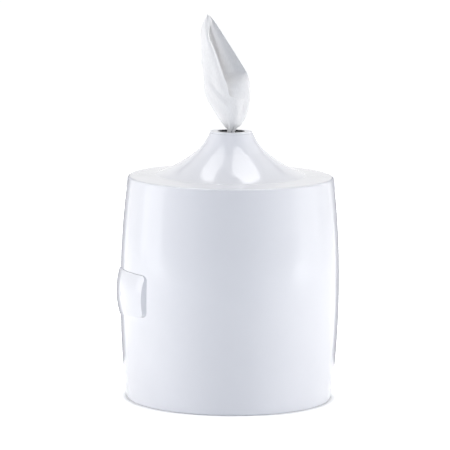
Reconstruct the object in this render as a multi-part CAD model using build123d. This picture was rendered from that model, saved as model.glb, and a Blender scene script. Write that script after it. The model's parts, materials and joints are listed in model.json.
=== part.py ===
from build123d import *
import math
import os

# Wall-mounted wipes dispenser, in millimetres.
# A clamshell barrel with a bell-shaped lid: the back shell stays on the wall, the front cover
# swings on two pins at the right, and wipes pull up out of a collar at the top.
# Every piece is drawn about the barrel's upright axis, base at Z = 0, front towards -Y, and is
# moved at the end so that the origin is the centre of the wall holes, on the wall's face.

# Barrel
BASE_R = 129.3            # outer radius at the foot and at the rim
BELLY_SWELL = 8.7         # how far the middle swells out past the foot
RIM_Z = 280.5             # height of the rim
RIM_ROUND = 3.0           # round over the rim's edge
FOOT_ROUND = 1.6          # round under the foot's edge
WALL = 2.8                # moulded wall of both shells

# Lid: a flat rim, a crease and a cone that steepens into the neck
CREASE_R = 95.0
CREASE_RISE = 2.0
FLARE_R = 42.8
FLARE_RISE = 32.3
NECK_R = 27.0
NECK_RISE = 55.4
LOWER_BOW = 177.0         # radius of the cone's slow curve
UPPER_BOW = 61.0          # radius of its quick curve

# Seam between the shells
SEAM_GAP = 0.5
RUN_GAP = 0.4             # clearance where the cover swings past a fixed piece

# Foot
BACK_FLANGE_W = 18.0      # width of the back shell's inward foot flange
COVER_FLANGE_W = 8.0      # width of the cover's
BASE_T = 3.0
BASE_EDGE_GAP = 0.7       # base plate to the inside of the shells
BASE_SCREW_INSET = 12.0   # screws from the barrel's foot radius
BASE_SCREW_ANGLES = (35.0, 90.0, 145.0)

# Wall pad and wall holes
WALL_PAD_W = 104.0
WALL_PAD_MARGIN = 17.0    # pad's ends from the foot and from the rim
WALL_PAD_CORNER = 12.0
WALL_HOLE_R = 2.6
WALL_HOLES_X = 76.0       # spacing across
WALL_HOLES_Z = 170.0      # spacing up
WALL_BOSS_R = 8.0
WALL_BOSS_H = 2.0

# Hinge at the right
HINGE_INSET = 6.5         # pin's axis in from the belly's skin
HINGE_Y = 16.0            # pin's axis behind the seam
PIN_R = 1.6
PIN_CLEAR = 0.05
KNUCKLE_R = 3.3
ARM_T = 3.0
ARM_ROOT = 9.0            # how far the arm runs along the cover's wall
LUG_H = 16.0
EAR_T = 4.0
EAR_REACH = 9.0           # ear from the pin's axis, back along the shell
HINGE_PITCH = 110.0       # lower lug's middle to upper lug's middle

# Nozzle
MOUTH_R = 17.2
COLLAR_T = 1.8
COLLAR_TAPER = 0.8
NECK_LIP_W = 4.2          # neck's skin to the collar's tube
TUBE_WALL = 3.5
TUBE_DEPTH = 11.0
BEAD_OUT = 1.2
BEAD_H = 2.4
BEAD_GAP = 0.1
RUBBER_T = 2.0
RUBBER_HOLE_GAP = 0.5     # round the stem
RUBBER_GAP = 0.1
RUBBER_LIP_W = 1.5        # raised lip that lines the mouth
RUBBER_LIP_DROP = 0.3     # lip's edge below the collar's top
SLIT_COUNT = 8
SLIT_LENGTH = 7.5
SLIT_W = 0.8
RETAINER_H = 5.0

# Refill
REFILL_CLEAR = 2.2        # bag's film to the heads of the base plate's screws
ROLL_H = 203.0            # one sheet wide
ROLL_CORE_R = 22.0
ROLL_GAP = 0.4            # roll to the bag's film
BAG_FILM = 0.8
BAG_HEADROOM = 8.2        # bag's straight side above the roll
BAG_SHOULDER_H = 20.0
BAG_NECK_R = 52.0
TAIL_R = 6.3
TAIL_FOOT_RISE = 33.0     # stem's lower end above the roll's foot

# Latch pad on the left: outline as seen from the left, then its crown
LATCH_DROP = 4.0          # latch's middle below the barrel's middle
PAD_FRONT_Y = -91.8
PAD_REAR_Y = -9.6
PAD_HALF_H = 30.0
PAD_FRONT_RISE = 8.7      # how far the lower edge climbs to the front
PAD_ROUND = 6.0
PAD_EDGE_PROUD = 0.4
PAD_CROWN = 5.0
PAD_WALL = 2.6
PAD_GAP = 0.3
LIP_W = 3.0
LIP_T = 2.0
LIP_GAP = 0.3
POST_R = 2.5
POST_CLEAR = 0.1
POST_Y = -36.0
POST_UP = 15.0            # posts above and below the latch's middle
SPRING_Y = -38.0
SPRING_R = 5.1
SPRING_WALL = 1.0
SPRING_SEAT_R = 6.2
SPRING_STUB_L = 3.5

# Latch bracket, on four bosses inside the cover
BRACKET_INSET = 20.5      # bracket's outer face in from the belly's skin
BRACKET_T = 2.5
BRACKET_FRONT_Y = -50.0
BRACKET_REAR_Y = -16.0
BRACKET_H = 85.0
BRACKET_ROUND = 4.0
BRACKET_SCREW_YS = (-21.0, -45.0)
BRACKET_SCREW_UP = 38.5   # screw height above and below the latch's middle
BOSS_R = 4.0
BOSS_BITE = 4.0           # how deep a screw goes into its boss

# Latch hook on the pad, keeper on the back shell
HOOK_INSET = 10.0         # hook's outer face in from the belly's skin
HOOK_T = 2.0
HOOK_H = 15.0
HOOK_FRONT_Y = -27.0
HOOK_REAR_Y = 7.0
BARB_L = 3.0
BARB_OUT = 3.0
HOOK_SCREW_Y = -20.0
HOOK_SCREW_UP = 4.0
KEEPER_CLEAR = 0.3        # the barb's real bite is left out, so this is a gap
KEEPER_T = 1.6
KEEPER_LIP_Y = 3.4        # rear face of the lip that the barb sits behind
KEEPER_FRONT_Y = 14.0     # boss that carries it, front and rear
KEEPER_REAR_Y = 31.0
KEEPER_SCREW_YS = (20.0, 27.6)
KEEPER_INSET = 6.8        # boss's inner face in from the belly's skin

# Screws
SCREW_R = 1.5
SCREW_HEAD_R = 2.8
SCREW_HEAD_T = 1.6
SCREW_L = 6.0

# Wipe that stands out of the mouth: height above the mouth, left x, right x, free fold's x, depth
WIPE_FOLD_T = 1.6
WIPE_STATIONS = (
    (1.0, -5.2, 5.8, 4.6, 5.0),
    (8.0, -10.8, 12.8, 10.5, 8.0),
    (22.0, -20.9, 20.0, 16.0, 13.0),
    (40.0, -31.5, 23.2, 18.5, 17.0),
    (58.0, -35.5, 23.1, 17.5, 18.0),
    (70.0, -36.2, 21.2, -4.0, 17.4),
    (82.0, -37.8, 14.2, -14.0, 16.0),
    (104.0, -39.1, -0.4, -24.0, 12.0),
    (122.0, -40.0, -11.7, -30.6, 8.0),
    (136.0, -39.3, -21.4, -30.0, 5.0),
    (146.0, -33.0, -29.4, -30.8, 2.4),
)

# Sizes worked out from those above
BELLY_R = BASE_R + BELLY_SWELL
FAR = 2.0 * BELLY_R
MIDDLE_Z = RIM_Z / 2
WALL_PLANE_Y = BELLY_R
NECK_Z = RIM_Z + NECK_RISE
TOP_Z = NECK_Z + COLLAR_T
LIP_UNDER_Z = NECK_Z - WALL
TUBE_R = NECK_R - NECK_LIP_W
TUBE_BORE_R = TUBE_R - TUBE_WALL
PLATE_TOP_Z = WALL + BASE_T
INNER_BASE_R = BASE_R - WALL
BASE_SCREW_R = BASE_R - BASE_SCREW_INSET
BAG_R = BASE_SCREW_R - SCREW_HEAD_R - REFILL_CLEAR
ROLL_R = BAG_R - BAG_FILM - ROLL_GAP
BAG_SIDE_H = ROLL_H + BAG_FILM + BAG_HEADROOM
ROLL_Z = PLATE_TOP_Z + BAG_FILM
HINGE_X = BELLY_R - HINGE_INSET
HINGE_ZS = (MIDDLE_Z - HINGE_PITCH / 2, MIDDLE_Z + HINGE_PITCH / 2)
LATCH_Z = MIDDLE_Z - LATCH_DROP
PAD_TOP_Z = LATCH_Z + PAD_HALF_H
PAD_LOW_Z = LATCH_Z - PAD_HALF_H
BRACKET_X = BRACKET_INSET - BELLY_R
BRACKET_INNER_X = BRACKET_X + BRACKET_T
HOOK_X = HOOK_INSET - BELLY_R
KEEPER_X = KEEPER_INSET - BELLY_R
LATCH_SPAN_Z = (LATCH_Z - HOOK_H / 2, LATCH_Z + HOOK_H / 2)
ORIGIN = (0.0, WALL_PLANE_Y, MIDDLE_Z)


def barrel_radius(z):
    """Outer radius of the barrel at a height."""
    rise = BELLY_R - BASE_R
    bow = (MIDDLE_Z**2 + rise**2) / (2 * rise)
    return BELLY_R - bow + math.sqrt(bow**2 - (z - MIDDLE_Z) ** 2)


def chord_x(radius, y):
    """Depth to the left of a circle about the axis, as a negative X."""
    return -math.sqrt(radius**2 - y**2)


def upright(radius, low, high, x=0.0, y=0.0):
    """Round solid about an upright line."""
    return Pos(x, y, (low + high) / 2) * Cylinder(radius, high - low)


def level(radius, left, right, y, z):
    """Round solid along X, from one X to another."""
    turned = Rot(0, 90, 0) * Cylinder(radius, right - left)
    return Pos((left + right) / 2, y, z) * turned


def block(x_span, y_span, z_span):
    """Box from its spans along X, Y and Z."""
    spans = (x_span, y_span, z_span)
    middle = [(low + high) / 2 for low, high in spans]
    sizes = [high - low for low, high in spans]
    return Pos(*middle) * Box(*sizes)


def turn(half_section):
    """Solid turned from a half section, with its closing line at the wall side."""
    return Rot(0, 0, 90) * revolve(Plane.XZ * half_section, Axis.Z)


def barrel_bulk(inset):
    """Solid barrel without its lid, drawn in by an inset."""
    side = ThreePointArc((BASE_R - inset, 0), (BELLY_R - inset, MIDDLE_Z), (BASE_R - inset, RIM_Z))
    bottom = Line((0, 0), (BASE_R - inset, 0))
    top = Line((BASE_R - inset, RIM_Z), (0, RIM_Z))
    axis = Line((0, RIM_Z), (0, 0))
    return turn(make_face([bottom, side, top, axis]))


def bowed(start, end, radius):
    """Arc between two points of the lid that sags below its chord."""
    across = (end[0] - start[0], end[1] - start[1])
    chord = math.hypot(*across)
    sag = radius - math.sqrt(radius**2 - (chord / 2) ** 2)
    middle = (
        (start[0] + end[0]) / 2 - sag * across[1] / chord,
        (start[1] + end[1]) / 2 + sag * across[0] / chord,
    )
    return ThreePointArc(start, middle, end)


def lathe_section(inset):
    """Half section of the whole body, axis to skin, drawn in evenly by an inset."""
    foot = (BASE_R, 0)
    rim = (BASE_R, RIM_Z)
    crease = (CREASE_R, RIM_Z + CREASE_RISE)
    flare = (FLARE_R, RIM_Z + FLARE_RISE)
    neck = (NECK_R, NECK_Z)
    outline = [
        Line((0, 0), foot),
        ThreePointArc(foot, (BELLY_R, MIDDLE_Z), rim),
        Line(rim, crease),
        bowed(crease, flare, LOWER_BOW),
        bowed(flare, neck, UPPER_BOW),
        Line(neck, (0, NECK_Z)),
        Line((0, NECK_Z), (0, 0)),
    ]
    half = make_face(outline)
    corner = half.vertices().sort_by_distance((BASE_R, RIM_Z, 0))[0]
    half = fillet(corner, RIM_ROUND)
    if inset == 0:
        corner = half.vertices().sort_by_distance((BASE_R, 0, 0))[0]
        return fillet(corner, FOOT_ROUND)
    whole = offset(half + mirror(half, Plane.YZ), amount=-inset, kind=Kind.INTERSECTION)
    return whole & (Pos(FAR / 2, RIM_Z / 2) * Rectangle(FAR, 2 * FAR))


def body_bulk(inset):
    """Solid of the barrel, lid and wall pad together, drawn in by an inset."""
    turned = turn(lathe_section(inset))
    wide = WALL_PAD_W - 2 * inset
    high = RIM_Z - 2 * (WALL_PAD_MARGIN + inset)
    face = RectangleRounded(wide, high, WALL_PAD_CORNER - inset)
    pad = extrude(Plane.XZ * face, -(WALL_PLANE_Y - inset))
    return turned + Pos(0, 0, MIDDLE_Z) * pad


def whole_shell():
    """Both shells in one, with the foot and the neck still closed."""
    return body_bulk(0) - body_bulk(WALL)


def latch_outline(grow):
    """Latch pad's outline in the YZ plane, grown or shrunk evenly."""
    corners = [
        (PAD_REAR_Y, PAD_LOW_Z),
        (PAD_REAR_Y, PAD_TOP_Z),
        (PAD_FRONT_Y, PAD_TOP_Z),
        (PAD_FRONT_Y, PAD_LOW_Z + PAD_FRONT_RISE),
    ]
    face = make_face(Polyline(*corners, close=True))
    face = fillet(face.vertices(), PAD_ROUND)
    return offset(face, amount=grow) if grow else face


def latch_prism(grow):
    """Latch pad's outline run along X through the left wall."""
    return extrude(Plane.YZ * latch_outline(grow), -FAR)


def latch_crown(depth):
    """Turned solid whose skin lies a depth under the latch pad's crowned face."""
    low = PAD_LOW_Z - LIP_W
    high = PAD_TOP_Z + LIP_W
    start = (barrel_radius(low) + PAD_EDGE_PROUD - depth, low)
    crest = (barrel_radius(LATCH_Z) + PAD_CROWN - depth, LATCH_Z)
    end = (barrel_radius(high) + PAD_EDGE_PROUD - depth, high)
    outline = [
        Line((0, low), start),
        ThreePointArc(start, crest, end),
        Line(end, (0, high)),
        Line((0, high), (0, low)),
    ]
    return turn(make_face(outline))


def post_places():
    """Guide posts' middles as Y and Z."""
    return [(POST_Y, LATCH_Z - POST_UP), (POST_Y, LATCH_Z + POST_UP)]


def crown_x(y, depth):
    """X of the latch pad's face, or of a depth under it, at the latch's middle height."""
    return chord_x(barrel_radius(LATCH_Z) + PAD_CROWN - depth, y)


def spring_seat_x():
    """Flat seat for the spring, just clear of the pad's curved inner face."""
    return crown_x(SPRING_Y - SPRING_SEAT_R, PAD_WALL)


def hinge_spans(middle):
    """Lug's low and high Z, then the window's."""
    low = middle - LUG_H / 2
    high = middle + LUG_H / 2
    return (low, high), (low - RUN_GAP, high + RUN_GAP)


def hinge_ears(middle):
    """Two ears on the back shell that hold one pin."""
    _, (low, high) = hinge_spans(middle)
    ears = Part()
    for span in ((low - EAR_T, low), (high, high + EAR_T)):
        ear = upright(KNUCKLE_R, *span, HINGE_X, HINGE_Y)
        ear += block((HINGE_X - KNUCKLE_R, FAR), (HINGE_Y - 2, HINGE_Y + EAR_REACH), span)
        ears += ear
    return ears & barrel_bulk(WALL / 4)


def pin_hole(middle, clearance):
    """Hole for one hinge pin through its ears and lug."""
    _, (low, high) = hinge_spans(middle)
    return upright(PIN_R + clearance, low - EAR_T, high + EAR_T, HINGE_X, HINGE_Y)


def hinge_window(middle):
    """Cut in the back shell's wall that one lug swings through."""
    _, span = hinge_spans(middle)
    return block((HINGE_X - KNUCKLE_R - 3, FAR), (-1, HINGE_Y + EAR_REACH - 1), span)


def hinge_lug(middle):
    """Knuckle and arm on the cover that turn on one pin."""
    span, _ = hinge_spans(middle)
    left = HINGE_X - ARM_T / 2
    arm = block((left, left + ARM_T), (-SEAM_GAP, HINGE_Y), span)
    root = block((left, barrel_radius(middle)), (-ARM_ROOT, -SEAM_GAP / 2), span)
    root &= barrel_bulk(WALL / 2)
    return upright(KNUCKLE_R, *span, HINGE_X, HINGE_Y) + arm + root


def screw(axis_point, direction, length=SCREW_L):
    """Pan-head screw: its seat is at the point and its shank runs along the direction."""
    seat = Plane(origin=axis_point, z_dir=direction)
    shank = seat * Pos(0, 0, length / 2) * Cylinder(SCREW_R, length)
    head = seat * Pos(0, 0, -SCREW_HEAD_T / 2) * Cylinder(SCREW_HEAD_R, SCREW_HEAD_T)
    slot = Pos(0, 0, -SCREW_HEAD_T) * Box(2 * SCREW_HEAD_R, 0.8, SCREW_HEAD_T)
    return shank + head - seat * slot


def screw_hole(axis_point, direction, length=SCREW_L):
    """Hole that a screw's shank fills."""
    seat = Plane(origin=axis_point, z_dir=direction)
    return seat * Pos(0, 0, length / 2) * Cylinder(SCREW_R, length)


def wall_hole_places():
    """Centres of the wall holes as X and Z."""
    return [
        (x, MIDDLE_Z + z)
        for x in (-WALL_HOLES_X / 2, WALL_HOLES_X / 2)
        for z in (-WALL_HOLES_Z / 2, WALL_HOLES_Z / 2)
    ]


def base_screw_places():
    """Seats of the base plate's screws."""
    places = []
    for angle in BASE_SCREW_ANGLES:
        turn = math.radians(angle)
        x = BASE_SCREW_R * math.cos(turn)
        y = BASE_SCREW_R * math.sin(turn)
        places.append((x, y, PLATE_TOP_Z))
    return places


def base_screw_length():
    """Base plate's screws end inside the foot flange."""
    return BASE_T + 0.7 * WALL


def keeper_screw_places():
    """Seats of the keeper's screws on its inner face."""
    return [(KEEPER_X + KEEPER_T, y, LATCH_Z) for y in KEEPER_SCREW_YS]


def keeper_screw_length():
    """Keeper's screws end inside its boss."""
    return KEEPER_T + 0.7 * (KEEPER_INSET - WALL / 2)


def hook_screw_places():
    """Seats of the hook's screws on its inner face."""
    heights = (LATCH_Z - HOOK_SCREW_UP, LATCH_Z + HOOK_SCREW_UP)
    return [(HOOK_X + HOOK_T, HOOK_SCREW_Y, z) for z in heights]


def bracket_screw_places():
    """Seats of the bracket's screws on its inner face."""
    heights = (LATCH_Z - BRACKET_SCREW_UP, LATCH_Z + BRACKET_SCREW_UP)
    return [(BRACKET_INNER_X, y, z) for y in BRACKET_SCREW_YS for z in heights]


def back_shell():
    """Back half of the body with its wall pad, foot flange, neck lip and hinge ears."""
    shell = whole_shell()
    shell -= upright(barrel_radius(0) - BACK_FLANGE_W, -1, WALL + 1)
    shell -= upright(TUBE_R, LIP_UNDER_Z - 1, TOP_Z)
    shell &= block((-FAR, FAR), (SEAM_GAP / 2, FAR), (-1, TOP_Z))
    for x, z in wall_hole_places():
        boss = Plane.XZ.offset(-(WALL_PLANE_Y - WALL)) * Pos(x, z) * Circle(WALL_BOSS_R)
        shell += extrude(boss, WALL_BOSS_H)
        hole = Plane.XZ.offset(-WALL_PLANE_Y - 1) * Pos(x, z) * Circle(WALL_HOLE_R)
        shell -= extrude(hole, WALL + WALL_BOSS_H + 2)
    for middle in HINGE_ZS:
        shell -= hinge_window(middle)
        shell += hinge_ears(middle)
        shell -= pin_hole(middle, 0)
    boss = block((-FAR, KEEPER_X), (KEEPER_FRONT_Y, KEEPER_REAR_Y), LATCH_SPAN_Z)
    shell += boss & barrel_bulk(WALL / 2)
    for place in keeper_screw_places():
        shell -= screw_hole(place, (-1, 0, 0), keeper_screw_length())
    for place in base_screw_places():
        shell -= screw_hole(place, (0, 0, -1), base_screw_length())
    return shell


def front_cover():
    """Front half of the body, with the latch pad's window, bracket bosses and hinge lugs."""
    shell = whole_shell()
    shell -= upright(barrel_radius(0) - COVER_FLANGE_W, -1, WALL + 1)
    shell -= upright(INNER_BASE_R, WALL - RUN_GAP, WALL + 1)
    shell -= upright(TUBE_R + RUN_GAP, LIP_UNDER_Z - 1, TOP_Z)
    shell &= block((-FAR, FAR), (-FAR, -SEAM_GAP / 2), (-1, NECK_Z - RUN_GAP / 2))
    corner = math.hypot(BELLY_R - HINGE_X, HINGE_Y - SEAM_GAP / 2)
    shell -= upright(corner + RUN_GAP / 2, WALL, RIM_Z - WALL, HINGE_X, HINGE_Y)
    shell -= latch_prism(PAD_GAP)
    for middle in HINGE_ZS:
        shell += hinge_lug(middle)
        shell -= pin_hole(middle, PIN_CLEAR)
    for x, y, z in bracket_screw_places():
        boss = level(BOSS_R, -BELLY_R, BRACKET_X, y, z)
        shell += boss & barrel_bulk(WALL / 2)
        shell -= screw_hole((x, y, z), (-1, 0, 0), BRACKET_T + BOSS_BITE)
    return shell


def hinge_pin(middle):
    """Steel dowel held in both ears of one hinge."""
    pin = pin_hole(middle, 0)
    return chamfer(pin.edges().filter_by(GeomType.CIRCLE), PIN_R / 5)


def nozzle_collar():
    """Ring on the neck, with a tube that snaps behind the back shell's lip."""
    flange = Cone(NECK_R, NECK_R - COLLAR_TAPER, COLLAR_T)
    collar = Pos(0, 0, NECK_Z + COLLAR_T / 2) * flange
    collar += upright(TUBE_R, NECK_Z - TUBE_DEPTH, NECK_Z)
    bead_top = LIP_UNDER_Z - BEAD_GAP
    bead = upright(TUBE_R + BEAD_OUT, bead_top - BEAD_H, bead_top)
    collar += bead & block((-FAR, FAR), (BEAD_OUT, FAR), (0, TOP_Z))
    collar -= upright(MOUTH_R, 0, TOP_Z + 1)
    return collar - upright(TUBE_BORE_R, 0, NECK_Z)


def nozzle_diaphragm():
    """Black rubber disc with slits round its hole and a lip that lines the mouth."""
    disc = upright(TUBE_BORE_R - RUBBER_GAP, NECK_Z - RUBBER_T, NECK_Z)
    lip = upright(MOUTH_R - RUBBER_GAP, NECK_Z, TOP_Z - RUBBER_LIP_DROP)
    disc += lip - upright(MOUTH_R - RUBBER_GAP - RUBBER_LIP_W, NECK_Z, TOP_Z)
    hole_r = TAIL_R + RUBBER_HOLE_GAP
    disc -= upright(hole_r, 0, TOP_Z)
    for step in range(SLIT_COUNT):
        slit = block(
            (hole_r - 1, hole_r + SLIT_LENGTH),
            (-SLIT_W / 2, SLIT_W / 2),
            (NECK_Z - RUBBER_T - 1, NECK_Z + 1),
        )
        disc -= Rot(0, 0, (step + 0.5) * 360 / SLIT_COUNT) * slit
    return disc


def nozzle_retainer():
    """Ring that holds the rubber up against the collar."""
    top = NECK_Z - RUBBER_T
    ring = upright(TUBE_BORE_R, top - RETAINER_H, top)
    return ring - upright(MOUTH_R, 0, TOP_Z)


def base_plate():
    """Round shelf that carries the refill."""
    plate = upright(INNER_BASE_R - BASE_EDGE_GAP, WALL, PLATE_TOP_Z)
    for place in base_screw_places():
        plate -= screw_hole(place, (0, 0, -1), base_screw_length())
    return plate


def base_plate_screws():
    """Screws that hold the base plate to the back shell."""
    length = base_screw_length()
    return [screw(place, (0, 0, -1), length) for place in base_screw_places()]


def bag_bulk(inset):
    """Filled bag, drawn in by the film."""
    radius = BAG_R - inset
    low = PLATE_TOP_Z + inset
    side_top = PLATE_TOP_Z + BAG_SIDE_H
    side = upright(radius, low, side_top)
    shoulder = Cone(radius, BAG_NECK_R - inset, BAG_SHOULDER_H)
    return side + Pos(0, 0, side_top + BAG_SHOULDER_H / 2) * shoulder


def refill_bag():
    """Thin film bag round the roll, open at the top."""
    return bag_bulk(0) - bag_bulk(BAG_FILM)


def wipes_roll():
    """Centre-pull roll with an open core."""
    roll = upright(ROLL_R, ROLL_Z, ROLL_Z + ROLL_H)
    return roll - upright(ROLL_CORE_R, 0, ROLL_Z + ROLL_H + 1)


def latch_pad():
    """Crowned hollow pad with a lip behind the cover, two guide posts and a hook boss."""
    lip_out = WALL + LIP_GAP
    cap = (latch_prism(0) & latch_crown(0)) - barrel_bulk(lip_out + LIP_T)
    cap -= latch_prism(-PAD_WALL) & latch_crown(PAD_WALL)
    ring = latch_prism(PAD_GAP + LIP_W) - latch_prism(-PAD_WALL)
    lip = (ring & barrel_bulk(lip_out)) - barrel_bulk(lip_out + LIP_T)
    pad = cap + lip
    for y, z in post_places():
        pad += level(POST_R, crown_x(y, PAD_WALL), BRACKET_INNER_X, y, z)
    seat_x = spring_seat_x()
    pad += level(SPRING_SEAT_R, crown_x(SPRING_Y, PAD_WALL / 2), seat_x, SPRING_Y, LATCH_Z)
    stub_r = SPRING_R - SPRING_WALL - POST_CLEAR
    pad += level(stub_r, seat_x, seat_x + SPRING_STUB_L, SPRING_Y, LATCH_Z)
    boss = block((-BELLY_R, HOOK_X), (HOOK_FRONT_Y, PAD_REAR_Y - PAD_WALL), LATCH_SPAN_Z)
    pad += boss & latch_crown(PAD_WALL / 2)
    for place in hook_screw_places():
        pad -= screw_hole(place, (-1, 0, 0))
    return pad


def latch_hook():
    """Steel strip from the pad across the seam, with a barb behind the keeper's lip."""
    barb_y = (HOOK_REAR_Y - BARB_L, HOOK_REAR_Y)
    strip = block((HOOK_X, HOOK_X + HOOK_T), (HOOK_FRONT_Y, HOOK_REAR_Y), LATCH_SPAN_Z)
    strip += block((HOOK_X - BARB_OUT, HOOK_X), barb_y, LATCH_SPAN_Z)
    for place in hook_screw_places():
        strip -= screw_hole(place, (-1, 0, 0))
    return strip


def latch_hook_screws():
    """Screws that hold the hook to the pad."""
    return [screw(place, (-1, 0, 0)) for place in hook_screw_places()]


def latch_spring():
    """Coil spring's outer shape, between the pad's seat and the bracket."""
    sleeve = level(SPRING_R, spring_seat_x(), BRACKET_X, SPRING_Y, LATCH_Z)
    return sleeve - level(SPRING_R - SPRING_WALL, -FAR, 0, SPRING_Y, LATCH_Z)


def latch_bracket():
    """Plate that guides the pad's posts and backs the spring."""
    face = Rectangle(BRACKET_REAR_Y - BRACKET_FRONT_Y, BRACKET_H)
    face = fillet(face.vertices(), BRACKET_ROUND)
    middle = Pos((BRACKET_FRONT_Y + BRACKET_REAR_Y) / 2, LATCH_Z)
    plate = extrude(Plane.YZ.offset(BRACKET_X) * middle * face, BRACKET_T)
    for y, z in post_places():
        plate -= level(POST_R + POST_CLEAR, -FAR, 0, y, z)
    for place in bracket_screw_places():
        plate -= screw_hole(place, (-1, 0, 0))
    return plate


def latch_bracket_screws():
    """Screws that hold the bracket to the cover's bosses."""
    length = BRACKET_T + BOSS_BITE
    return [screw(place, (-1, 0, 0), length) for place in bracket_screw_places()]


def catch_plate():
    """Keeper: a steel strip on the back shell's boss whose lip the barb sits behind."""
    inner_x = KEEPER_X + KEEPER_T
    lip_x = HOOK_X - BARB_OUT - KEEPER_CLEAR
    outer_x = lip_x - KEEPER_T
    step_y = (KEEPER_FRONT_Y - KEEPER_T, KEEPER_FRONT_Y)
    strip = block((KEEPER_X, inner_x), (step_y[0], KEEPER_REAR_Y), LATCH_SPAN_Z)
    strip += block((outer_x, inner_x), step_y, LATCH_SPAN_Z)
    strip += block((outer_x, lip_x), (KEEPER_LIP_Y - KEEPER_T, step_y[1]), LATCH_SPAN_Z)
    for place in keeper_screw_places():
        strip -= screw_hole(place, (-1, 0, 0))
    return strip


def catch_plate_screws():
    """Screws that hold the keeper."""
    length = keeper_screw_length()
    return [screw(place, (-1, 0, 0), length) for place in keeper_screw_places()]


def wipe_section(station):
    """Folded sheet's section: a back panel, a fold at the left and a front flap."""
    rise, left, right, flap, depth = station
    t = min(WIPE_FOLD_T, depth / 3)
    back = (left * 0.4 + right * 0.6, depth)
    front = (left * 0.5 + flap * 0.5, -depth * 0.8)
    edge = (flap, -depth * 0.6)
    outline = [
        ThreePointArc((right, 0), back, (left, 0)),
        ThreePointArc((left, 0), front, edge),
        Line(edge, (edge[0], edge[1] + t)),
        ThreePointArc((edge[0], edge[1] + t), (front[0], front[1] + t), (left + t, 0)),
        ThreePointArc((left + t, 0), (back[0], back[1] - t), (right - t, 0)),
        Line((right - t, 0), (right, 0)),
    ]
    return Plane.XY.offset(TOP_Z + rise) * make_face(outline)


def wipe():
    """Sheet that stands out of the mouth, gathered at its foot and folded like a leaf."""
    return loft([wipe_section(station) for station in WIPE_STATIONS])


def wipe_tail():
    """Gathered stem of the next sheets, from the roll's core through the mouth."""
    return upright(TAIL_R, ROLL_Z + TAIL_FOOT_RISE, TOP_Z + WIPE_STATIONS[0][0])


def save(name, shape):
    """Write one piece, or a group of like pieces, with the origin on the wall's face."""
    pieces = shape if isinstance(shape, list) else shape.solids()
    moved = [Pos(*[-value for value in ORIGIN]) * piece for piece in pieces]
    group = moved[0] if len(moved) == 1 else Compound(children=moved)
    export_step(group, "parts/" + name + ".step")


os.makedirs("parts", exist_ok=True)
save("back_shell", back_shell())
save("front_cover", front_cover())
save("lower_hinge_pin", hinge_pin(HINGE_ZS[0]))
save("upper_hinge_pin", hinge_pin(HINGE_ZS[1]))
save("nozzle_collar", nozzle_collar())
save("nozzle_diaphragm", nozzle_diaphragm())
save("nozzle_retainer", nozzle_retainer())
save("base_plate", base_plate())
save("base_plate_screws", base_plate_screws())
save("refill_bag", refill_bag())
save("wipes_roll", wipes_roll())
save("catch_plate", catch_plate())
save("catch_plate_screws", catch_plate_screws())
save("latch_pad", latch_pad())
save("latch_hook", latch_hook())
save("latch_hook_screws", latch_hook_screws())
save("latch_spring", latch_spring())
save("latch_bracket", latch_bracket())
save("latch_bracket_screws", latch_bracket_screws())
save("wipe", wipe())
save("wipe_tail", wipe_tail())
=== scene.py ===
import json
import math
import random

import bmesh
import bpy
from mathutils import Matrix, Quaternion, Vector


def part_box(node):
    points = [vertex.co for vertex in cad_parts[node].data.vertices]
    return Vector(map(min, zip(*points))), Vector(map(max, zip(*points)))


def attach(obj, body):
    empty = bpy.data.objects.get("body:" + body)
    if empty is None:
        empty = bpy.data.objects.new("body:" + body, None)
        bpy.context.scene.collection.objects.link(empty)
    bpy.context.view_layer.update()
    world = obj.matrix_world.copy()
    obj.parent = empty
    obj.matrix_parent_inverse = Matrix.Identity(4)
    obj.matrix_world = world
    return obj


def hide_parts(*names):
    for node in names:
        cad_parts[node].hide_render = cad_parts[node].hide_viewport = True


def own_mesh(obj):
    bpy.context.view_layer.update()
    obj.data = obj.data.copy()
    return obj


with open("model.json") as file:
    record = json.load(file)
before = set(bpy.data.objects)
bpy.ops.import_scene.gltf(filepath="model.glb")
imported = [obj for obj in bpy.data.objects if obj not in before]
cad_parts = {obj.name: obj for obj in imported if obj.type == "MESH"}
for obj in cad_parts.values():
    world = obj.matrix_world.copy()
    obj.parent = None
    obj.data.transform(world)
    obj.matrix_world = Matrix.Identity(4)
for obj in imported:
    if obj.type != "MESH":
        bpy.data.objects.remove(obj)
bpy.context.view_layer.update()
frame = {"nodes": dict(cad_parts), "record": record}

# Wall-mounted wipes dispenser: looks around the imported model, in metres, +Z up, wall at Y = 0.
MM = 0.001

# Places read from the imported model
SHELL_LOW, SHELL_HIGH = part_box("back_shell")
BASE_Z = SHELL_LOW[2]
BARREL_R = SHELL_HIGH[0]
AXIS_Y = -(SHELL_HIGH[0] - SHELL_LOW[0]) / 2
MOUTH_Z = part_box("nozzle_collar")[1][2]
ROLL_LOW, ROLL_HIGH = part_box("wipes_roll")
BAG_LOW, BAG_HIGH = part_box("refill_bag")
TAIL_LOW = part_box("wipe_tail")[0]
SPRING_LOW, SPRING_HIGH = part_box("latch_spring")

# Camera: far in front of the barrel's axis and a little above, with a long lens
CAMERA_BACK = 4.08
CAMERA_UP = 0.8071
AIM_X = -0.0067
AIM_UP = 0.2184
ROLL = 0.0099        # camera's own tilt, in radians
LENS_MM = 261.88
SENSOR_MM = 36.0
VIEW_REACH = 50.0


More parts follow.
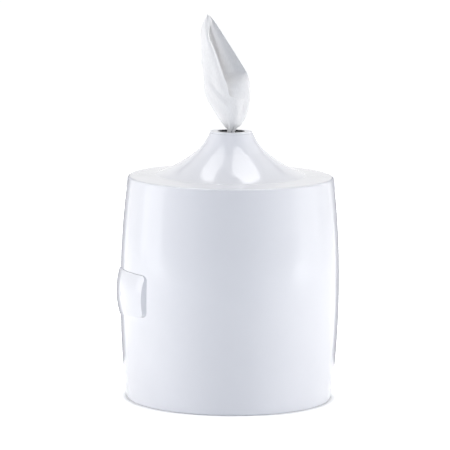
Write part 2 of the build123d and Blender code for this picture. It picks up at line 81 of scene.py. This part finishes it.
def camera():
    """Camera at the photograph's viewing angle."""
    data = bpy.data.cameras.new("camera")
    data.lens = LENS_MM
    data.sensor_width = SENSOR_MM
    data.clip_end = VIEW_REACH
    obj = bpy.data.objects.new("camera", data)
    obj.location = (0.0, AXIS_Y - CAMERA_BACK, BASE_Z + CAMERA_UP)
    aim = Vector((AIM_X, AXIS_Y, BASE_Z + AIM_UP))
    turn = (aim - obj.location).to_track_quat("-Z", "Y") @ Quaternion((0.0, 0.0, 1.0), ROLL)
    obj.rotation_euler = turn.to_euler()
    bpy.context.scene.collection.objects.link(obj)
    bpy.context.scene.camera = obj


# Materials

def new_material(name):
    """Empty node material: its tree, its shader and a coordinate node."""
    material = bpy.data.materials.new(name)
    material.use_nodes = True
    tree = material.node_tree
    shader = tree.nodes["Principled BSDF"]
    place = tree.nodes.new("ShaderNodeTexCoord")
    return material, tree, shader, place


def set_inputs(node, values):
    """Sets the inputs that are the same all over a surface."""
    for socket, value in values.items():
        node.inputs[socket].default_value = value


def mapped(tree, place, location=(0.0, 0.0, 0.0), scale=(1.0, 1.0, 1.0)):
    """The object's own coordinates, shifted and scaled."""
    node = tree.nodes.new("ShaderNodeMapping")
    set_inputs(node, {"Location": location, "Scale": scale})
    tree.links.new(place.outputs["Object"], node.inputs["Vector"])
    return node.outputs["Vector"]


def noise(tree, place, scale, detail=3.0, stretch=None):
    """Noise over the object's own coordinates, stretched along an axis where asked."""
    node = tree.nodes.new("ShaderNodeTexNoise")
    set_inputs(node, {"Scale": scale, "Detail": detail})
    source = mapped(tree, place, scale=stretch) if stretch else place.outputs["Object"]
    tree.links.new(source, node.inputs["Vector"])
    return node.outputs["Fac"]


def ramp(tree, source, dark, light, low=0.3, high=0.7):
    """Colour ramp between two colours or greys."""
    node = tree.nodes.new("ShaderNodeValToRGB")
    for stop, position, value in zip(node.color_ramp.elements, (low, high), (dark, light)):
        stop.position = position
        stop.color = (*value, 1.0) if hasattr(value, "__len__") else (value, value, value, 1.0)
    tree.links.new(source, node.inputs["Fac"])
    return node.outputs["Color"]


def feed(tree, shader, socket, source, dark, light, low=0.3, high=0.7):
    """Drives a shader's socket by a ramp between two colours or greys."""
    tree.links.new(ramp(tree, source, dark, light, low, high), shader.inputs[socket])


def bump(tree, shader, source, distance, strength=1.0, after=None):
    """Bump of a real height in metres, on top of another where one is given."""
    node = tree.nodes.new("ShaderNodeBump")
    set_inputs(node, {"Strength": strength, "Distance": distance})
    tree.links.new(source, node.inputs["Height"])
    if after:
        tree.links.new(after.outputs["Normal"], node.inputs["Normal"])
    tree.links.new(node.outputs["Normal"], shader.inputs["Normal"])
    return node


def shell_material():
    """Glossy white moulded plastic, a little blue, with faint flow marks and handling haze."""
    material, tree, shader, place = new_material("white_gloss_plastic")
    clouds = noise(tree, place, 9.0, 4.0)
    feed(tree, shader, "Base Color", clouds, (0.75, 0.75, 0.782), (0.775, 0.775, 0.805))
    feed(tree, shader, "Roughness", noise(tree, place, 26.0, 6.0), 0.09, 0.14)
    set_inputs(shader, {"IOR": 1.47, "Coat Weight": 0.12, "Coat Roughness": 0.06})
    wave = bump(tree, shader, noise(tree, place, 55.0, 2.0), 0.00005)
    bump(tree, shader, noise(tree, place, 900.0, 2.0), 0.000004, after=wave)
    return material


# Grained surfaces: tone (scale, detail, dark, light), gloss (scale, least and most roughness)
# and grain (scale, detail, height in metres)
COLLAR = {    # satin pale plastic of the mouth's ring
    "tone": (60.0, 3.0, (0.77, 0.775, 0.80), (0.81, 0.815, 0.84)),
    "gloss": (300.0, 0.28, 0.4),
    "grain": (1400.0, 2.0, 0.00001),
}
INNER = {     # matt grey moulding with a spark-eroded grain
    "tone": (40.0, 5.0, (0.46, 0.47, 0.49), (0.54, 0.55, 0.57)),
    "gloss": (500.0, 0.5, 0.68),
    "grain": (1600.0, 3.0, 0.00003),
}
RUBBER = {    # matt black rubber with a dusty bloom
    "tone": (150.0, 5.0, (0.008, 0.008, 0.009), (0.022, 0.022, 0.024)),
    "gloss": (400.0, 0.55, 0.8),
    "grain": (1800.0, 3.0, 0.00003),
}


def grained_material(name, tone, gloss, grain):
    """Moulded surface with a clouded tone, an uneven gloss and a fine grain."""
    material, tree, shader, place = new_material(name)
    scale, detail, dark, light = tone
    feed(tree, shader, "Base Color", noise(tree, place, scale, detail), dark, light)
    scale, least, most = gloss
    feed(tree, shader, "Roughness", noise(tree, place, scale), least, most)
    scale, detail, height = grain
    bump(tree, shader, noise(tree, place, scale, detail), height)
    return material


def steel_material():
    """Brushed steel with long fine scratches."""
    material, tree, shader, place = new_material("brushed_steel")
    scratches = noise(tree, place, 120.0, 6.0, stretch=(2.0, 2.0, 60.0))
    feed(tree, shader, "Base Color", scratches, (0.50, 0.50, 0.51), (0.66, 0.66, 0.67))
    feed(tree, shader, "Roughness", scratches, 0.24, 0.42)
    set_inputs(shader, {"Metallic": 1.0})
    bump(tree, shader, scratches, 0.00001)
    return material


def cloth_material():
    """Soft white nonwoven sheet: matted fibres and a faint pressed dimple pattern."""
    material, tree, shader, place = new_material("white_nonwoven")
    fibres = noise(tree, place, 900.0, 6.0, stretch=(1.0, 1.0, 0.25))
    dark, light = (0.855, 0.84, 0.83), (0.91, 0.895, 0.885)
    feed(tree, shader, "Base Color", fibres, dark, light, 0.35, 0.65)
    set_inputs(shader, {
        "Roughness": 0.9,
        "Specular IOR Level": 0.2,
        "Sheen Weight": 0.04,
        "Subsurface Weight": 0.15,
        "Subsurface Radius": (1.0, 0.95, 0.95),
        "Subsurface Scale": 0.0008,
    })
    dimples = tree.nodes.new("ShaderNodeTexVoronoi")
    set_inputs(dimples, {"Scale": 520.0})
    tree.links.new(place.outputs["Object"], dimples.inputs["Vector"])
    soft = bump(tree, shader, dimples.outputs["Distance"], 0.00008, 0.6)
    bump(tree, shader, fibres, 0.00006, after=soft)
    return material


def roll_material():
    """Wound sheets: their edges are rings round the barrel's axis, on the roll's ends."""
    material, tree, shader, place = new_material("wound_nonwoven")
    source = mapped(tree, place, location=(0.0, -AXIS_Y, 0.0))
    waves = tree.nodes.new("ShaderNodeTexWave")
    waves.wave_type = "RINGS"
    waves.rings_direction = "Z"
    set_inputs(waves, {"Scale": 260.0, "Distortion": 2.5, "Detail": 2.0})
    tree.links.new(source, waves.inputs["Vector"])
    rings = waves.outputs["Fac"]
    feed(tree, shader, "Base Color", rings, (0.70, 0.70, 0.71), (0.87, 0.87, 0.875), 0.2, 0.8)
    set_inputs(shader, {"Roughness": 0.92, "Sheen Weight": 0.1})
    bump(tree, shader, rings, 0.0003, 0.8)
    return material


def film_material():
    """Milky bag film, crinkled and half clear."""
    material, tree, shader, place = new_material("milky_film")
    crinkle = noise(tree, place, 70.0, 7.0, stretch=(1.0, 1.0, 0.35))
    feed(tree, shader, "Base Color", crinkle, (0.72, 0.76, 0.80), (0.84, 0.87, 0.90))
    feed(tree, shader, "Roughness", noise(tree, place, 200.0), 0.12, 0.3)
    set_inputs(shader, {"Alpha": 0.62})
    bump(tree, shader, crinkle, 0.0012, 0.5)
    return material


def dress_nodes(materials):
    """Gives every shown CAD node the material of its slot."""
    slots = {row["node"]: row["material_slot"] for row in frame["record"]["subparts"]}
    for node, obj in frame["nodes"].items():
        obj.data.materials.clear()
        obj.data.materials.append(materials[slots[node]])


# Meshes

def face_outwards(bm):
    """Turns a mesh's faces the same way round."""
    bmesh.ops.recalc_face_normals(bm, faces=bm.faces)


def weld(bm):
    """Joins points that lie on each other."""
    bmesh.ops.remove_doubles(bm, verts=bm.verts, dist=1e-6)


def close_ends(bm):
    """Fills the open ends of a tube."""
    bmesh.ops.holes_fill(bm, edges=[edge for edge in bm.edges if edge.is_boundary])


def edit_mesh(mesh, *steps):
    """Runs steps on a mesh, in order."""
    bm = bmesh.new()
    bm.from_mesh(mesh)
    for step in steps:
        step(bm)
    bm.to_mesh(mesh)
    bm.free()


def grid_object(name, rows, closed=False):
    """Smooth mesh object from rows of points; closed joins each row's ends."""
    mesh = bpy.data.meshes.new(name)
    width = len(rows[0])
    points = [point for row in rows for point in row]
    faces = []
    for i in range(len(rows) - 1):
        this, above = i * width, (i + 1) * width
        for j in range(width if closed else width - 1):
            k = (j + 1) % width
            faces.append((this + j, this + k, above + k, above + j))
    mesh.from_pydata(points, [], faces)
    edit_mesh(mesh, face_outwards)
    for polygon in mesh.polygons:
        polygon.use_smooth = True
    obj = bpy.data.objects.new(name, mesh)
    bpy.context.scene.collection.objects.link(obj)
    return obj


def modify(obj, kind, **settings):
    """Applies one modifier to an object's mesh."""
    modifier = obj.modifiers.new(kind.lower(), kind)
    for setting, value in settings.items():
        setattr(modifier, setting, value)
    graph = bpy.context.evaluated_depsgraph_get()
    final = bpy.data.meshes.new_from_object(obj.evaluated_get(graph))
    obj.modifiers.clear()
    obj.data = final


def finish_piece(obj, body, slot, materials, *nodes):
    """Material, body, slot and the nodes that a piece stands for."""
    obj.data.materials.clear()
    obj.data.materials.append(materials[slot])
    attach(obj, body)
    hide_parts(*nodes)


def mix(a, b, share):
    """Value between two, by a share."""
    return a + (b - a) * share


def eased(x, low, high):
    """Smooth step from 0 at low to 1 at high."""
    t = min(max((x - low) / (high - low), 0.0), 1.0)
    return t * t * (3 - 2 * t)


def fading(x, low, high):
    """Smooth step from 1 at low to 0 at high."""
    return eased(-x, -high, -low)


def along(table, x):
    """Smooth curve through a short list of (x, value) pairs."""
    if x <= table[0][0]:
        return table[0][1]
    for i in range(len(table) - 1):
        x0, y0 = table[i]
        x1, y1 = table[i + 1]
        if x <= x1:
            xa, ya = table[max(i - 1, 0)]
            xb, yb = table[min(i + 2, len(table) - 1)]
            slope0 = (y1 - ya) / (x1 - xa)
            slope1 = (yb - y0) / (xb - x0)
            t = (x - x0) / (x1 - x0)
            h = x1 - x0
            return (
                (2 * t**3 - 3 * t**2 + 1) * y0
                + (t**3 - 2 * t**2 + t) * h * slope0
                + (3 * t**2 - 2 * t**3) * y1
                + (t**3 - t**2) * h * slope1
            )
    return table[-1][1]


# The wipe, in millimetres above the mouth and from the barrel's axis
WIPE_H = 146.4
LEFT_EDGE = [(0, -5.0), (3, -6.4), (8.6, -11.3), (16, -16.8), (38.6, -31.1), (46, -33.6),
             (54, -35.2), (84, -38.0), (119, -39.8), (129, -39.6), (135, -37.8), (146.4, -31.6)]
RIGHT_EDGE = [(0, 5.4), (3, 7.0), (8.6, 13.3), (16, 17.6), (23.6, 20.9), (38.6, 23.6), (54, 23.6),
              (69, 21.3), (76, 17.8), (84, 12.9), (114, -6.5), (136.4, -21.6), (143, -27.4),
              (146.4, -31.2)]
FLAP_EDGE = [(0, 1.0), (41.5, 16.0), (43, 7.0), (45, -1.4), (58, -5.0), (69, -9.3), (103, -21.5),
             (117, -28.0), (125, -28.8), (132, -27.4), (139, -25.8), (146.4, -31.3)]
DEPTH = [(0, 4.6), (8, 9.4), (20, 14.0), (42, 16.0), (66, 14.5), (92, 11.0), (118, 7.0),
         (138, 3.4), (146.4, 0.4)]
FRONT_SHARE = 0.85     # share of the depth that the front layer takes
BACK_SHARE = 0.75
LEAST_WIDTH = 0.3
FLAP_LIFT = 2.2        # how far the flap's edge stands off the layer under it
FLAP_CURL = 1.1        # roll of that edge
RIM_H = 66.0           # rim of the layer under the flap, over which the inside shows
RIM_SOFT = 8.0         # half the height over which it turns to the inside
TUCK = 3.0             # how far that layer goes back under the flap's edge
UNDER = 1.3            # how far it lies under the flap
INSIDE = 0.72          # place of the inside between front and back
STEM_DEEP = 106.0      # reach of the gathered stem into the dispenser
STEM_R = 4.75
STEM_PLEAT = 1.45
PLEATS = 9
GATHER_H = 6.0         # half the height over which the leaf turns into the stem
LEAF_STEP = 1.5
STEM_STEP = 3.5
STEM_START = 2.0
WIPE_SEGMENTS = (("flap", 34), ("back", 48), ("front", 44))
CLOTH_T = 0.00035      # in metres


def swell(s, power):
    """Share of the full depth across the width, none at the two folds."""
    return math.sin(math.pi * min(max(s, 0.0), 1.0)) ** power


def ridge(x, middle, reach):
    """Rounded ridge of height 1 at a middle."""
    t = max(0.0, 1.0 - abs(x - middle) / reach)
    return t * t * (3 - 2 * t)


def front_y(s, h):
    """Depth of the wipe's front surface at a share of its width, with its pressed folds."""
    fold = 0.06 + 0.42 * fading(h, 22, 66)
    pressed = 0.8 * ridge(s, fold, 0.13) * eased(h, 14, 34) * fading(h, 60, 86)
    valley = 0.7 * ridge(s, fold + 0.14, 0.12) * eased(h, 14, 34) * fading(h, 56, 80)
    upper = 0.9 * ridge(s, 0.22, 0.16) * eased(h, 78, 104)
    side = 0.6 * ridge(s, 0.80, 0.12) * eased(h, 8, 20) * fading(h, 36, 54)
    gather = 0.8 * math.cos(2 * math.pi * 3.4 * s + 0.6) * math.exp(-h / 9.0)
    depth = along(DEPTH, h) * FRONT_SHARE * swell(s, 0.7)
    return -depth - pressed + valley - upper + side + gather


def back_y(s, h):
    """Depth of its back surface."""
    fold = 1.6 * ridge(s, 0.55, 0.22) * eased(h, 20, 70)
    second = 1.0 * ridge(s, 0.26 + h / 600.0, 0.12) * eased(h, 30, 60)
    gather = 1.1 * math.cos(2 * math.pi * 4.2 * s) * math.exp(-h / 24.0)
    return along(DEPTH, h) * BACK_SHARE * swell(s, 0.8) - fold + second + gather


def leaf_point(segment, t, h):
    """Point of the standing leaf at a height: the flap, then the back, then the front under it."""
    left = along(LEFT_EDGE, h)
    right = along(RIGHT_EDGE, h)
    width = max(right - left, LEAST_WIDTH)
    if segment == "flap":
        edge = min(along(FLAP_EDGE, h), right - 0.02 * width)
        s = (mix(edge, left, t) - left) / width
        bow = 0.5 * math.sin(math.pi * min(t * 2, 1.0))
        curl = FLAP_CURL * math.exp(-((t / 0.09) ** 2)) * fading(h, 120, 138)
        stand = FLAP_LIFT * eased(h, 40, 56) * fading(h, 110, 138) * (1 - t)
        y = front_y(s, h) - bow - curl * eased(h, 38, 48) - stand
    elif segment == "back":
        s = t
        y = back_y(s, h)
    else:
        s = 1.0 - t * 0.94
        rim = RIM_H + 5.0 * (s - 0.6) + 1.2 * math.sin(9.0 * s)
        turned = eased(h, rim - RIM_SOFT, rim + RIM_SOFT)
        edge = (along(FLAP_EDGE, h) - left) / width
        tuck = TUCK * math.exp(-(max(s - edge, 0.0) / 0.25) ** 2) * eased(h, 42, 56)
        under = UNDER * eased(t, 0.0, 0.3) * eased(h, 6, 30) + tuck
        inside = mix(front_y(s, h), back_y(s, h), INSIDE) - 0.3
        y = mix(front_y(s, h) + under, inside, turned)
    return left + s * width, y


def stem_point(turn, h):
    """Point of the gathered stem at a share of its wrap."""
    angle = math.radians(-95.0 - 470.0 * turn)
    wobble = 0.35 * math.sin(3 * angle + 0.05 * h)
    twist = 0.010 * h
    pleat = STEM_PLEAT * math.cos(PLEATS * angle + twist * 6)
    radius = STEM_R - 0.9 * turn + pleat + wobble
    return radius * math.cos(angle + twist), radius * math.sin(angle + twist)


def wipe(materials):
    """The sheet that stands out of the mouth, with its gathered stem inside."""
    heights = [WIPE_H - LEAF_STEP * i for i in range(int(WIPE_H / LEAF_STEP) + 1)]
    stem_rows = int((STEM_DEEP - STEM_START) / STEM_STEP) + 1
    heights += [-STEM_START - STEM_STEP * i for i in range(stem_rows)]
    total = sum(count for _, count in WIPE_SEGMENTS)
    rows = []
    for h in heights:
        row = []
        gathered = 1.0 - eased(h, -GATHER_H, GATHER_H)
        for segment, count in WIPE_SEGMENTS:
            for i in range(count):
                t = i / count if segment != "front" else i / (count - 1)
                x, y = leaf_point(segment, t, max(h, 0.0))
                stem_x, stem_y = stem_point(len(row) / (total - 1), h)
                x = mix(x, stem_x, gathered)
                y = mix(y, stem_y, gathered)
                row.append((x * MM, AXIS_Y + y * MM, MOUTH_Z + h * MM))
        rows.append(row)
    obj = grid_object("wipe_cloth", rows)
    modify(obj, "SUBSURF", levels=1, render_levels=1)
    modify(obj, "SOLIDIFY", thickness=CLOTH_T, offset=0.0)
    finish_piece(obj, "pulled_wipe", "wipe_fabric", materials, "wipe")


# Next sheet of the chain, in millimetres
TAIL_R = 3.9
TAIL_PLEAT = 2.05
TAIL_PLEATS = 19
TAIL_ROUND = 260       # points round it
TAIL_STEPS = 48
TAIL_OVERLAP = 0.004   # in metres, up round the end of the wipe's stem


def turned_rows(profile, count, change=None):
    """Rows of a turned piece from (radius, z) pairs, with an optional change of radius."""
    rows = []
    for index, (radius, z) in enumerate(profile):
        row = []
        for j in range(count):
            angle = 2 * math.pi * j / count
            r = radius + (change(angle, z, index) if change else 0.0)
            row.append((r * math.cos(angle), AXIS_Y + r * math.sin(angle), z))
        rows.append(row)
    return rows


def tail(materials):
    """The next sheet of the chain, gathered down into the roll's core."""
    top = MOUTH_Z - STEM_DEEP * MM + TAIL_OVERLAP
    low = TAIL_LOW[2]
    profile = [(0.0, mix(top, low, i / TAIL_STEPS)) for i in range(TAIL_STEPS + 1)]

    def gathers(angle, z, index):
        depth = (top - z) / MM
        pleat = math.cos(TAIL_PLEATS * angle + 0.02 * depth)
        loose = 0.35 * math.sin(2 * angle + 0.06 * depth)
        return (TAIL_R + TAIL_PLEAT * pleat + loose) * MM

    obj = grid_object("wipe_tail_cloth", turned_rows(profile, TAIL_ROUND, gathers), closed=True)
    finish_piece(obj, "pulled_wipe", "wipe_fabric", materials, "wipe_tail")


# Film bag, in metres
FILM_T = 0.0003
BAG_SHOULDER = 0.020   # from its shoulder up to its open neck
BAG_CORNER = 0.004
BAG_NECK_R = 0.056
BAG_GATHERS = 34       # gathers round the neck
BAG_GATHER = 0.0016
BAG_SLACK = 0.0006
BAG_SIDE_STEPS = 40
BAG_TOP_STEPS = 14
BAG_ROUND = 288        # points round it


def bag(materials):
    """Film bag: drawn close round the roll, wrinkled above it and gathered to an open neck."""
    radius = (BAG_HIGH[0] - BAG_LOW[0]) / 2
    low = BAG_LOW[2] + FILM_T
    high = BAG_HIGH[2]
    corner, shoulder = low + BAG_CORNER, high - BAG_SHOULDER
    profile = [(0.001, low), (radius * 0.5, low), (radius - BAG_CORNER, low), (radius, corner)]
    bottom = len(profile)
    for i in range(1, BAG_SIDE_STEPS + 1):
        profile.append((radius, mix(corner, shoulder, i / BAG_SIDE_STEPS)))
    for i in range(1, BAG_TOP_STEPS + 1):
        r = mix(radius, BAG_NECK_R, eased(i, 0, BAG_TOP_STEPS))
        profile.append((r, mix(shoulder, high - 0.004, i / BAG_TOP_STEPS)))
    profile += [(BAG_NECK_R - 0.0025, high - 0.002), (BAG_NECK_R - 0.001, high)]

    def wrinkle(angle, z, index):
        if index < bottom:
            return 0.0
        over = eased(z, ROLL_HIGH[2] - 0.01, shoulder + 0.004)
        gather = over * BAG_GATHER * math.cos(BAG_GATHERS * angle + 3 * math.sin(2 * angle))
        slack = BAG_SLACK * (1 + math.sin(5 * angle + 40 * z) * math.cos(3 * angle - 25 * z))
        return gather + slack * (1 - 0.5 * over)

    obj = grid_object("refill_bag_film", turned_rows(profile, BAG_ROUND, wrinkle), closed=True)
    modify(obj, "SOLIDIFY", thickness=FILM_T, offset=0.0)
    finish_piece(obj, "back", "bag_film", materials, "refill_bag")


# Wound roll, in metres
CORE_R = 0.022
ROLL_TURNS = 60
ROLL_SIDE_STEPS = 12
ROLL_ROUND = 192       # points round it
EDGE_LIFT = 0.0005     # how unevenly the sheets' edges stand
LAST_TURN = 0.0004     # step at the last turn's edge


def roll(materials):
    """Wound roll: sheet edges stand unevenly on both ends, and the last turn's edge shows."""
    outer = (ROLL_HIGH[0] - ROLL_LOW[0]) / 2
    rng = random.Random(7)
    lift = [rng.uniform(-EDGE_LIFT, 0.0) for _ in range(ROLL_TURNS + 1)]
    low, high = ROLL_LOW[2], ROLL_HIGH[2]
    ends = [(mix(CORE_R, outer, i / ROLL_TURNS), lift[i]) for i in range(ROLL_TURNS + 1)]
    shares = [i / ROLL_SIDE_STEPS for i in range(1, ROLL_SIDE_STEPS)]
    profile = [(r, high + d) for r, d in ends]
    profile += [(outer, mix(high, low, share)) for share in shares]
    profile += [(r, low - d) for r, d in reversed(ends)]
    profile += [(CORE_R, mix(low, high, share)) for share in shares]
    profile.append(profile[0])

    def slack(angle, z, index):
        outside = ROLL_TURNS < index < ROLL_TURNS + ROLL_SIDE_STEPS + 1
        return -LAST_TURN * (0.5 + 0.5 * math.sin(angle / 2)) if outside else 0.0

    obj = grid_object("wipes_roll_wound", turned_rows(profile, ROLL_ROUND, slack), closed=True)
    edit_mesh(obj.data, weld, face_outwards)
    finish_piece(obj, "back", "roll_fabric", materials, "wipes_roll")


# Latch spring, in metres
WIRE_R = 0.00045
COILS = 7.5
COIL_STEPS = 30        # points along one coil
WIRE_ROUND = 10        # points round the wire


def spring(materials):
    """Latch spring as a real coil with closed end turns."""
    left, right = SPRING_LOW[0], SPRING_HIGH[0]
    y = (SPRING_LOW[1] + SPRING_HIGH[1]) / 2
    z = (SPRING_LOW[2] + SPRING_HIGH[2]) / 2
    radius = (SPRING_HIGH[1] - SPRING_LOW[1]) / 2 - WIRE_R
    rows = []
    count = int(COILS * COIL_STEPS)
    for i in range(count + 1):
        share = i / count
        angle = 2 * math.pi * COILS * share
        climb = eased(share, -0.02, 0.14) * 0.07 + share * 0.86 + eased(share, 0.86, 1.02) * 0.07
        x = mix(left + WIRE_R, right - WIRE_R, min(climb, 1.0))
        out = Vector((0.0, math.cos(angle), math.sin(angle)))
        row = []
        for j in range(WIRE_ROUND):
            turn = 2 * math.pi * j / WIRE_ROUND
            ahead = Vector((WIRE_R * math.sin(turn), 0.0, 0.0))
            offset = out * (radius + WIRE_R * math.cos(turn)) + ahead
            row.append((x + offset.x, y + offset.y, z + offset.z))
        rows.append(row)
    obj = grid_object("latch_spring_coil", rows, closed=True)
    edit_mesh(obj.data, close_ends)
    finish_piece(obj, "cover", "steel", materials, "latch_spring")
    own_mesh(obj)


# Studio
FLOOR_REACH = 12.0
FLOOR_FADE = 0.7       # the floor's own glow is weaker within this distance of the foot
FLOOR_GREY = (0.9, 0.9, 0.9, 1.0)
FLOOR_GLOW = (1.0, 0.44, 0.1, 0.75)     # glow far off and near, and the nearness of each
CONTACT_SHADOW_REACH = 0.010        # reach of the painted contact shadow, a dark line under the foot where occlusion dims the floor's glow
CONTACT_SHADOW_GLOW = (0.0, 1.0, 0.5, 0.97)    # glow under the foot and clear of it, and their openness, for that painted contact shadow
SKY = 0.06
SKY_COLOUR = (0.80, 0.92, 1.15, 1.0)
WHITE = (1.0, 1.0, 1.0, 1.0)

# Side lamps stand on one circle round the barrel and span bearings from the viewer, in degrees
CIRCLE_R = 2.0
BOX_H = 1.2
COOL = (0.86, 0.95, 1.10)
SIDES = ((-1, "left", 1.4), (1, "right", 0.8))    # side, its word and its band's light
FILL = (68, 86, 11.0)                             # first bearing, last bearing, light
FRONT = (15, 45, 1.4)
BACK = (165, 195, 3.0)
BAND = (76, 106)

# Lamps overhead: place across and behind the axis, size, light and turn in degrees
TOP_UP = 1.5
OVALS = (
    ("top_left", (-0.41, 0.25), (0.46, 1.5), 2.4, -14.0),
    ("top_right", (0.30, 0.25), (0.52, 1.5), 3.0, 8.0),
)
TOP_FILL = ("top_fill", (0.0, -0.2), (1.2, 1.2), 0.7)

# Grey cards: inner edge, outer edge and place behind the axis, in shares of the barrel's
# radius, then their top and bottom above its base
FLAG_NEAR = 1.02
FLAG_FAR = 1.9
FLAG_BACK = 1.35
FLAG_H = 0.45
FLAG_LIFT = 0.001
FLAG_GREY = (0.3, 0.3, 0.33, 1.0)


def seen_white(tree, plain, white, out):
    """Shows a white shader to the camera and in reflections, and a plain one to all other rays."""
    rays = tree.nodes.new("ShaderNodeLightPath")
    seen = rays.outputs["Is Camera Ray"]
    for name in ("Is Glossy Ray", "Is Transmission Ray"):
        either = tree.nodes.new("ShaderNodeMath")
        either.operation = "MAXIMUM"
        tree.links.new(seen, either.inputs[0])
        tree.links.new(rays.outputs[name], either.inputs[1])
        seen = either.outputs["Value"]
    choose = tree.nodes.new("ShaderNodeMixShader")
    tree.links.new(seen, choose.inputs["Fac"])
    tree.links.new(plain, choose.inputs[1])
    tree.links.new(white, choose.inputs[2])
    tree.links.new(choose.outputs["Shader"], out.inputs["Surface"])


def floor_material():
    """Pale matt floor that shows white, takes the object's shadow and has a painted contact shadow
    under the foot.
    """
    material, tree, shader, place = new_material("studio_white")
    tree.nodes.remove(shader)
    matt = tree.nodes.new("ShaderNodeBsdfDiffuse")
    set_inputs(matt, {"Color": FLOOR_GREY})
    location = (0.0, -AXIS_Y / FLOOR_FADE, -BASE_Z / FLOOR_FADE)
    near = tree.nodes.new("ShaderNodeTexGradient")
    near.gradient_type = "SPHERICAL"
    source = mapped(tree, place, location, (1 / FLOOR_FADE,) * 3)
    tree.links.new(source, near.inputs["Vector"])
    glow = tree.nodes.new("ShaderNodeEmission")
    feed(tree, glow, "Color", near.outputs["Fac"], *FLOOR_GLOW)
    # painted contact shadow: occlusion near the foot turns the floor's glow down to a dark line
    painted_contact_shadow = tree.nodes.new("ShaderNodeAmbientOcclusion")
    set_inputs(painted_contact_shadow, {"Distance": CONTACT_SHADOW_REACH})
    feed(tree, glow, "Strength", painted_contact_shadow.outputs["AO"], *CONTACT_SHADOW_GLOW)
    both = tree.nodes.new("ShaderNodeAddShader")
    tree.links.new(matt.outputs["BSDF"], both.inputs[0])
    tree.links.new(glow.outputs["Emission"], both.inputs[1])
    out = tree.nodes["Material Output"]
    seen_white(tree, matt.outputs["BSDF"], both.outputs["Shader"], out)
    return material


def studio():
    """Wide white floor and a plain cool sky that shows white."""
    ends = (-FLOOR_REACH, FLOOR_REACH)
    floor = grid_object("floor", [[(x, y, BASE_Z) for x in ends] for y in ends])
    floor.data.materials.append(floor_material())
    world = bpy.data.worlds.new("studio")
    world.use_nodes = True
    bpy.context.scene.world = world
    tree = world.node_tree
    sky = tree.nodes["Background"]
    set_inputs(sky, {"Color": SKY_COLOUR, "Strength": SKY})
    white = tree.nodes.new("ShaderNodeBackground")
    set_inputs(white, {"Color": WHITE})
    out = tree.nodes["World Output"]
    seen_white(tree, sky.outputs["Background"], white.outputs["Background"], out)


def lamp(name, place, aim, size, radiance, turn=0.0, shape="RECTANGLE"):
    """Soft box or oval of a given brightness, turned about its own axis."""
    data = bpy.data.lights.new(name, "AREA")
    data.shape = shape
    data.size, data.size_y = size
    area = size[0] * size[1] * (math.pi / 4 if shape == "ELLIPSE" else 1.0)
    data.energy = radiance * math.pi * area
    obj = bpy.data.objects.new(name, data)
    obj.location = place
    facing = (Vector(aim) - Vector(place)).to_track_quat("-Z", "Y")
    turned = facing @ Quaternion((0.0, 0.0, 1.0), math.radians(turn))
    obj.rotation_euler = turned.to_euler()
    obj.visible_camera = False
    bpy.context.scene.collection.objects.link(obj)
    return obj


def side_box(name, side, start, end, radiance, colour=WHITE[:3]):
    """Tall soft box that spans a range of bearings, on one side (-1 left, 1 right)."""
    middle, half = math.radians((start + end) / 2), math.radians((end - start) / 2)
    x = side * CIRCLE_R * math.sin(middle)
    y = AXIS_Y - CIRCLE_R * math.cos(middle)
    z = BASE_Z + BOX_H / 2
    size = (2 * CIRCLE_R * math.tan(half), BOX_H)
    box = lamp(name, (x, y, z), (0.0, AXIS_Y, z), size, radiance)
    box.data.color = colour
    return box


def overhead(name, place, size, radiance, turn=0.0, shape="RECTANGLE"):
    """Lamp that faces straight down."""
    x, y = place[0], AXIS_Y + place[1]
    return lamp(name, (x, y, BASE_Z + TOP_UP), (x, y, 0.0), size, radiance, turn, shape)


def flag(name, side):
    """Grey card behind the barrel that only its gloss sees: it draws the thin line down a side."""
    y = AXIS_Y + BARREL_R * FLAG_BACK
    across = [side * BARREL_R * share for share in (FLAG_NEAR, FLAG_FAR)]
    up = (BASE_Z + FLAG_LIFT, BASE_Z + FLAG_H)
    card = grid_object(name, [[(x, y, z) for x in across] for z in up])
    material, _, shader, _ = new_material("flag_grey")
    set_inputs(shader, {"Base Color": FLAG_GREY, "Roughness": 1.0})
    card.data.materials.append(material)
    card.visible_camera = card.visible_diffuse = False
    card.visible_shadow = card.visible_transmission = False


def lights():
    """Matt fills and a glossy band at both sides, and two long ovals overhead, set apart."""
    for side, word, band in SIDES:
        side_box("fill_" + word, side, *FILL).visible_glossy = False
        side_box("front_" + word, side, *FRONT, COOL).visible_glossy = False
        side_box("band_" + word, side, *BAND, band).visible_diffuse = False
        flag("flag_" + word, side)
    side_box("fill_back", 1, *BACK).visible_glossy = False
    for oval in OVALS:
        overhead(*oval, "ELLIPSE")
    overhead(*TOP_FILL).visible_glossy = False


camera()
MATERIALS = {
    "shell_plastic": shell_material(),
    "collar_plastic": grained_material("collar_plastic", **COLLAR),
    "mouth_rubber": grained_material("black_rubber", **RUBBER),
    "inner_plastic": grained_material("inner_grained_plastic", **INNER),
    "steel": steel_material(),
    "bag_film": film_material(),
    "roll_fabric": roll_material(),
    "wipe_fabric": cloth_material(),
}
dress_nodes(MATERIALS)
wipe(MATERIALS)
tail(MATERIALS)
bag(MATERIALS)
roll(MATERIALS)
spring(MATERIALS)
studio()
lights()
bpy.context.scene.view_settings.view_transform = "Standard"
